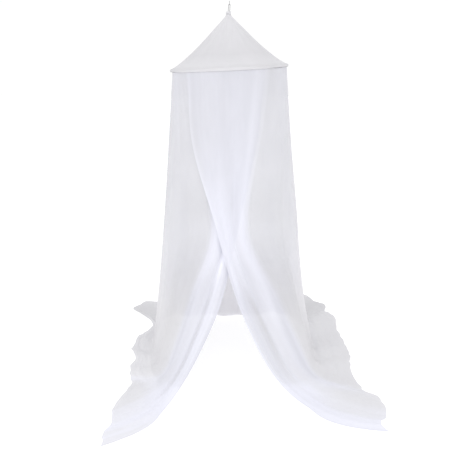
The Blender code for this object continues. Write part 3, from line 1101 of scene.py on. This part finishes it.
    def creases(self, angles: np.ndarray, level: np.ndarray) -> tuple[np.ndarray, np.ndarray, np.ndarray]:
        """How far the bold creases push the cloth out and gather it, and the painted shade and light they put
        into its colour.

        Args:
            angles: Hoop angles.
            level: Each row's share of the drop plus its share of the way out.

        Returns:
            Depths, densities with painted shade, and painted shading, rows by columns.
        """
        depths = np.zeros((len(level), len(angles)))
        density, tone = np.zeros_like(depths), np.zeros_like(depths)
        for crease in CREASES:
            way = ramp(level, crease.first, crease.settled - crease.first)
            centre = crease.start + (crease.end - crease.start) * way * (2 - way)
            rising = ramp(level, crease.first, self.crease_rise)
            lasting = rising * ramp(crease.last - level, 0.0, self.crease_fade)
            strength = lasting**2 * (3 - 2 * lasting)
            away = np.abs(angles[None, :] - centre[:, None]) / crease.half_width
            bump = strength[:, None] * round_bump(away)
            depths += crease.depth * bump
            density += crease.density * bump
            # Painted shading, lighter or darker, laid along each crease.
            tone += crease.tone * bump
        return depths, density, tone

    def ripples(self, angles: np.ndarray, down: np.ndarray, out: np.ndarray, calm: np.ndarray) -> np.ndarray:
        """The small soft ripples of loose cloth, down the walls and over the floor.

        Args:
            angles: Hoop angles.
            down: Each row's share of the drop.
            out: Each row's share of the way out over the floor.
            calm: How free the cloth is to ripple, rows by columns.

        Returns:
            Depths, rows by columns.
        """
        span = STATIONS[0].hoop - STATIONS[-1].hoop
        across = angles[None, :] * self.cut_width / span
        level = (down + out * self.floor_share)[:, None]
        walls = sum(ripple.share * ripple.waves(across, level) for ripple in WALL_RIPPLES)
        floor = sum(ripple.share * np.abs(ripple.waves(across, level)) for ripple in FLOOR_RIPPLES)
        lying = ramp(out, 0.0, self.lying_start)[:, None]
        hanging = (self.wall_ripple * down[:, None]) * (1 - lying) * walls
        return (hanging + self.floor_ripple * lying * floor) * calm

    def ragged(self, lines: dict[str, np.ndarray]) -> np.ndarray:
        """The hem line with its small scallops and corners.

        Args:
            lines: The control lines.

        Returns:
            The hem's points.
        """
        hem, foot = lines["hem"], lines["foot"]
        arc = np.concatenate([[0.0], np.cumsum(np.linalg.norm(np.diff(hem, axis=0), axis=1))])
        flat = np.zeros_like(arc)
        scallops = sum(ripple.share * ripple.waves(arc, flat) for ripple in HEM_SCALLOPS)
        along = (hem - foot) / np.linalg.norm(hem - foot, axis=1)[:, None]
        return hem + along * scallops[:, None]

    def shape(self) -> tuple[np.ndarray, dict[Mask, np.ndarray]]:
        """The net's form above the floor, with its masks.

        Returns:
            Points, rows by columns, and the masks by name.
        """
        angles = self.columns()
        points, turned, down, out = self.middle(angles)
        across = np.gradient(points, axis=1)
        outward = np.stack([-across[..., 1], across[..., 0], np.zeros(across.shape[:2])], axis=2)
        outward /= np.linalg.norm(outward, axis=2)[..., None]
        push = outward * (1 - turned[..., None]) + np.array([0.0, 0.0, 1.0]) * turned[..., None]
        spacing = np.linalg.norm(across, axis=2) / np.abs(np.gradient(angles))[None, :]
        gather = np.clip(1.30 - spacing / self.loose_spacing, 0.0, 1.0)
        bold, density, tone = self.creases(angles, down + out)
        depths = self.folds(angles, down) * (1 - self.floor_fold_loss * out)[:, None] + bold
        depths += self.ripples(angles, down, out, np.clip(1.10 - 1.4 * gather, 0.03, 1.0))
        low = ramp(down + out, self.low_start, self.low_reach)[:, None]
        hollow = self.deepest_hollow * low * (1 - turned)
        grid = points + push * np.maximum(depths, -hollow)[..., None]
        nearest = np.min(
            [np.linalg.norm(grid - edge, axis=2) for edge in (grid[:, :1], grid[:, -1:], grid[-1:])],
            axis=0,
        )
        # The creases' density adds painted shade and light to the real gathering.
        gather = np.clip(gather + density, 0.0, 1.0)
        # The wall's low part is made denser and greyer as painted shade; cloth lying on the floor counts as
        # layered.
        shaded_low_wall = ramp(down, self.low_start, self.low_reach)[:, None]
        layers = shaded_low_wall * (1 - turned) + self.lying_layers * turned
        masks = {
            Mask.GATHER: gather,
            Mask.HEM: np.clip(1.5 - nearest / self.hem_width, 0.0, 1.0),
            Mask.LAYERS_AND_SHADE: layers * (1 - gather),
            Mask.SEAM: np.zeros_like(gather),
            Mask.PAINTED_SHADING: tone,
        }
        return grid, masks

    def build(self, weave: bpy.types.NodeTree) -> bpy.types.Object:
        """Builds the net.

        Args:
            weave: The shared net group.

        Returns:
            The net's piece.
        """
        grid, masks = self.shape()
        grid += np.array([-HANG_X, 0.0, FLOOR])
        piece = cloth_piece("net_sheet", grid, False, masks, self.finish.material(weave))
        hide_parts("net_curtain")
        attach(piece, "root")
        return piece


@dataclass
class ConeTop:
    """The cone of net, its gathered neck and its casing round the rod."""

    hoop_radius: float = 0.293
    gathers: int = 12
    scallops: int = 5
    casing_radius: float = 0.0068
    casing_start: float = 58.0
    casing_end: float = -130.0
    casing_density: float = 0.26
    tip_reach: float = 0.2
    rim_start: float = 0.18
    rim_reach: float = 0.09
    least_density: float = 0.15
    # Where the painted shadow line below the rod lies and how dark it is: faint at the front, stronger at the
    # sides.
    seam_shadow_angle: float = -54.0
    seam_shadow_reach: float = 30.0
    seam_shadow_right: tuple[float, float] = (0.58, 0.14)
    seam_shadow_left: tuple[float, float] = (0.80, 0.12)
    seam_shadow_faint: float = 0.10
    seam_shadow_strong: float = 0.70
    columns: int = 288
    rows: int = 90
    casing_rows: int = 16
    finish: NetFinish = NetFinish(
        name="cone_net",
        thin_color=(0.665, 0.66, 0.685),
        dense_color=(0.70, 0.695, 0.72),
        layered_color=(0.66, 0.66, 0.68),
        thin_cover=0.80,
        dense_cover=0.90,
        layered_cover=0.86,
        size=(1.9, 0.42),
    )

    def slope(self, turn: np.ndarray) -> tuple[np.ndarray, np.ndarray]:
        """The cone's own cloth, from the crest above the tie to the rod.

        Args:
            turn: The columns' angles, one row.

        Returns:
            Its points above the floor, and the radius of each row.
        """
        level = np.linspace(0.0, 1.0, self.rows)
        places = np.linspace(0.0, 1.0, len(CONE_ROWS))
        radius, height, gather, sag = (
            smooth_through(places, column_of(CONE_ROWS, name), level) for name in ConeRow._fields
        )
        wave = 0.5 + 0.5 * np.cos(self.gathers * turn + 0.6 * np.sin(2 * turn))
        slack = 0.5 + 0.5 * np.cos(self.scallops * turn + 1.1 * np.sin(turn))
        x, y = on_ring(radius[:, None] + gather[:, None] * (wave - 0.5), turn)
        x = x + TIP_SHIFT * (1 - radius[:, None] / self.hoop_radius)
        rise = x * math.tan(math.radians(HOOP_TILT))
        return standing(x, y, HOOP_HEIGHT + height[:, None] - sag[:, None] * slack + rise), radius

    def casing(self, turn: np.ndarray, angle: np.ndarray) -> np.ndarray:
        """The cloth's lower edge, turned round the rod.

        Args:
            turn: The columns' angles, one row.
            angle: The rows' angles round the rod, from its outer side up.

        Returns:
            Its points above the floor.
        """
        x, y = on_ring((self.hoop_radius + self.casing_radius * np.cos(angle))[:, None], turn)
        rise = x * math.tan(math.radians(HOOP_TILT))
        return standing(x, y, HOOP_HEIGHT + (self.casing_radius * np.sin(angle))[:, None] + rise)

    def masks(self, turn: np.ndarray, angle: np.ndarray, radius: np.ndarray) -> dict[Mask, np.ndarray]:
        """What the cloth carries: dense at the tip and the casing, and a painted shadow line below the rod,
        darker towards the sides.

        Args:
            turn: The columns' angles, one row.
            angle: The casing's rows, by angle round the rod.
            radius: The cone's rows, by radius.

        Returns:
            The masks by name.
        """
        reach = np.concatenate([radius, np.full(self.casing_rows, self.casing_density)])
        closeness = np.maximum(1.2 - reach / self.tip_reach, (reach - self.rim_start) / self.rim_reach)
        dense = np.repeat(np.clip(closeness, self.least_density, 1.0)[:, None], self.columns, axis=1)
        seam, empty = np.zeros_like(dense), np.zeros_like(dense)
        # Painted shadow line on the casing's lower rows, darker towards the sides.
        away = (angle - math.radians(self.seam_shadow_angle)) / math.radians(self.seam_shadow_reach)
        aside = ramp(np.sin(turn), *self.seam_shadow_right) + ramp(-np.sin(turn), *self.seam_shadow_left)
        strength = self.seam_shadow_faint + self.seam_shadow_strong * aside
        seam[self.rows :] = round_bump(np.abs(away))[:, None] * strength
        return {Mask.GATHER: dense, Mask.HEM: empty, Mask.LAYERS_AND_SHADE: empty, Mask.SEAM: seam, Mask.PAINTED_SHADING: empty}

    def build(self, weave: bpy.types.NodeTree) -> bpy.types.Object:
        """Builds the cone.

        Args:
            weave: The shared net group.

        Returns:
            The cone's piece.
        """
        turn = np.linspace(0.0, 2 * math.pi, self.columns, endpoint=False)[None, :]
        angle = np.radians(np.linspace(self.casing_start, self.casing_end, self.casing_rows))
        slope, radius = self.slope(turn)
        grid = np.concatenate([slope, self.casing(turn, angle)], axis=0)
        grid += np.array([-HANG_X, 0.0, FLOOR])
        masks = self.masks(turn, angle, radius)
        piece = cloth_piece("cone_sheet", grid, True, masks, self.finish.material(weave))
        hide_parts("cone_top")
        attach(piece, "root")
        return piece


STRAND_SPREAD = 1.08  # how far a strand lies from its cord's middle, in its own radii
NEARLY_ALONG = 0.2  # below this share, a path runs too close to Y for its sides to be taken from Y


def strand_tube(
    path: np.ndarray, closed: bool, strand: float, strands: int, lay: float, sides: int = 8
) -> tuple[list[tuple[float, float, float]], list[tuple[int, int, int, int]]]:
    """Strands twisted together along a path.

    Args:
        path: The cord's middle line, evenly spaced points.
        closed: Whether the path runs back into its start.
        strand: Radius of one strand.
        strands: How many strands.
        lay: Length of one whole twist.
        sides: Sides of each strand.

    Returns:
        Points and faces.
    """
    count = len(path)
    ahead = np.roll(path, -1, axis=0) - np.roll(path, 1, axis=0)
    if not closed:
        ahead[0], ahead[-1] = path[1] - path[0], path[-1] - path[-2]
    ahead /= np.linalg.norm(ahead, axis=1)[:, None]
    side = np.cross(ahead, np.array([0.0, 1.0, 0.0]))
    along_y = np.linalg.norm(side, axis=1) < NEARLY_ALONG
    side[along_y] = np.cross(ahead[along_y], np.array([1.0, 0.0, 0.0]))
    side /= np.linalg.norm(side, axis=1)[:, None]
    up = np.cross(side, ahead)
    steps = np.linalg.norm(np.diff(path, axis=0, append=path[:1] if closed else path[-1:]), axis=1)
    arc = np.concatenate([[0.0], np.cumsum(steps)[:-1]])
    turns = max(1, round(steps.sum() / lay)) if closed else steps.sum() / lay
    points, faces = [], []
    for index in range(strands):
        turn = 2 * math.pi * (arc / steps.sum() * turns + index / strands)
        spread = strand * STRAND_SPREAD
        middle = path + spread * (np.cos(turn)[:, None] * side + np.sin(turn)[:, None] * up)
        first = len(points)
        for place in range(count):
            for corner in range(sides):
                angle = 2 * math.pi * corner / sides
                out = math.cos(angle) * side[place] + math.sin(angle) * up[place]
                points.append(tuple(middle[place] + strand * out))
        for place in range(count if closed else count - 1):
            here, there = first + place * sides, first + (place + 1) % count * sides
            for corner in range(sides):
                beside = (corner + 1) % sides
                faces.append((here + corner, here + beside, there + beside, there + corner))
        if not closed:
            faces.append(tuple(first + corner for corner in reversed(range(sides))))
            faces.append(tuple(first + (count - 1) * sides + corner for corner in range(sides)))
    return points, faces


def solid_piece(name: str, points: Sequence, faces: Sequence, finish: bpy.types.Material) -> bpy.types.Object:
    """A smooth closed piece with its faces turned outwards.

    Args:
        name: The piece's name.
        points: Its points.
        faces: Its faces.
        finish: Its material.

    Returns:
        The new piece.
    """
    mesh = bpy.data.meshes.new(name)
    mesh.from_pydata([tuple(point) for point in points], [], faces)
    form = bmesh.new()
    form.from_mesh(mesh)
    bmesh.ops.recalc_face_normals(form, faces=form.faces)
    form.to_mesh(mesh)
    form.free()
    mesh.polygons.foreach_set("use_smooth", [True] * len(mesh.polygons))
    mesh.materials.append(finish)
    piece = bpy.data.objects.new(name, mesh)
    bpy.context.scene.collection.objects.link(piece)
    return piece


@dataclass
class Hardware:
    """The hoop, the neck's tie, the hanging loop and the ring."""

    loop_bottom: float = 0.236
    loop_top: float = 0.301
    loop_half_width: float = 0.0036
    loop_lean: float = 0.005
    loop_bow_points: int = 25
    loop_side_points: int = 58
    strand: float = 0.00068
    strands: int = 3
    lay: float = 0.0075
    knot_radius: float = 0.0054
    knot_points: int = 160
    tie_height: float = 0.2555
    tie_radius: float = 0.0118
    tie_rounds: int = 4
    tie_points: int = 96
    tie_unevenness: float = 0.0002
    thread: float = 0.0006
    thread_lay: float = 0.004
    hoop_finish: PlainFinish = PlainFinish("hoop_rod", (0.50, 0.50, 0.51), 0.45)
    tie_finish: PlainFinish = PlainFinish("tie_thread", (0.74, 0.74, 0.76), 0.85, grain=2400.0)
    cord_finish: PlainFinish = PlainFinish("loop_cord", (0.34, 0.34, 0.35), 0.85, grain=2400.0)
    ring_finish: PlainFinish = PlainFinish("ring_wire", (0.35, 0.35, 0.36), 0.35, metallic=1.0, grain=900.0)

    def build(self) -> None:
        """Dresses the hoop and the ring, and makes the loop and the tie."""
        for node, finish in (("hoop", self.hoop_finish), ("hanging_ring", self.ring_finish)):
            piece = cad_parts[node]
            piece.data.materials.clear()
            piece.data.materials.append(finish.material())
        cord = self.cord_finish.material()
        for piece in (self.loop(cord), self.knot(cord)):
            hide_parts("hanging_loop")
            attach(piece, "root")
        thread = self.tie()
        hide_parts("neck_tie")
        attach(thread, "root")

    def base(self) -> np.ndarray:
        """The cone's axis at the hoop's height."""
        return np.array([TIP_SHIFT - HANG_X, 0.0, HOOP_HEIGHT + FLOOR])

    def loop(self, finish: bpy.types.Material) -> bpy.types.Object:
        """The twisted cord of the hanging loop.

        Args:
            finish: The cord's material.

        Returns:
            The loop's piece.
        """
        tall = self.loop_top - self.loop_bottom
        half = self.loop_half_width
        bow = np.linspace(0.0, math.pi, self.loop_bow_points)
        rise = np.linspace(0.0, 1.0, self.loop_side_points + 2)[1:-1] * (tall - 2 * half)
        straight = np.ones(self.loop_side_points)
        side = np.concatenate([np.cos(bow), -straight, -np.cos(bow), straight]) * half
        dip = half * (1 - np.sin(bow))
        up = np.concatenate([tall - dip, (tall - half) - rise, dip, half + rise])
        path = standing(side + self.loop_lean * up / tall, 0 * side, self.loop_bottom + up)
        points, faces = strand_tube(path + self.base(), True, self.strand, self.strands, self.lay)
        return solid_piece("loop_cord", points, faces, finish)

    def knot(self, finish: bpy.types.Material) -> bpy.types.Object:
        """The knot inside the cone that stops the loop: a trefoil of the same cord.

        Args:
            finish: The cord's material.

        Returns:
            The knot's piece.
        """
        turn = np.linspace(0.0, 2 * math.pi, self.knot_points, endpoint=False)
        x = np.sin(turn) + 2 * np.sin(2 * turn)
        y = np.cos(turn) - 2 * np.cos(2 * turn)
        path = standing(x, y, -0.9 * np.sin(3 * turn)) * self.knot_radius / 3.0
        path += self.base() + np.array([0.0, 0.0, self.loop_bottom])
        points, faces = strand_tube(path, True, self.strand, self.strands, self.lay)
        return solid_piece("loop_knot", points, faces, finish)

    def tie(self) -> bpy.types.Object:
        """Builds the thread wound tightly round the neck.

        Returns:
            The tie's piece.
        """
        turn = np.linspace(0.0, 2 * math.pi * self.tie_rounds, self.tie_points * self.tie_rounds)
        climb = np.linspace(-1.0, 1.0, len(turn)) * self.thread * (self.tie_rounds - 1)
        wide = self.tie_radius + self.tie_unevenness * np.sin(3 * turn)
        path = standing(*on_ring(wide, turn), self.tie_height + climb)
        points, faces = strand_tube(path + self.base(), False, self.thread / 2, 2, self.thread_lay, sides=6)
        return solid_piece("tie_thread", points, faces, self.tie_finish.material())


def main() -> None:
    """Builds the studio and the canopy's pieces in order."""
    logging.basicConfig(level=logging.INFO)
    Studio().build()
    LOG.info("studio")
    weave = NetWeave().group()
    Hardware().build()
    LOG.info("hardware")
    ConeTop().build(weave)
    LOG.info("cone")
    NetCurtain().build(weave)
    LOG.info("net")


if __name__ == "__main__":
    main()
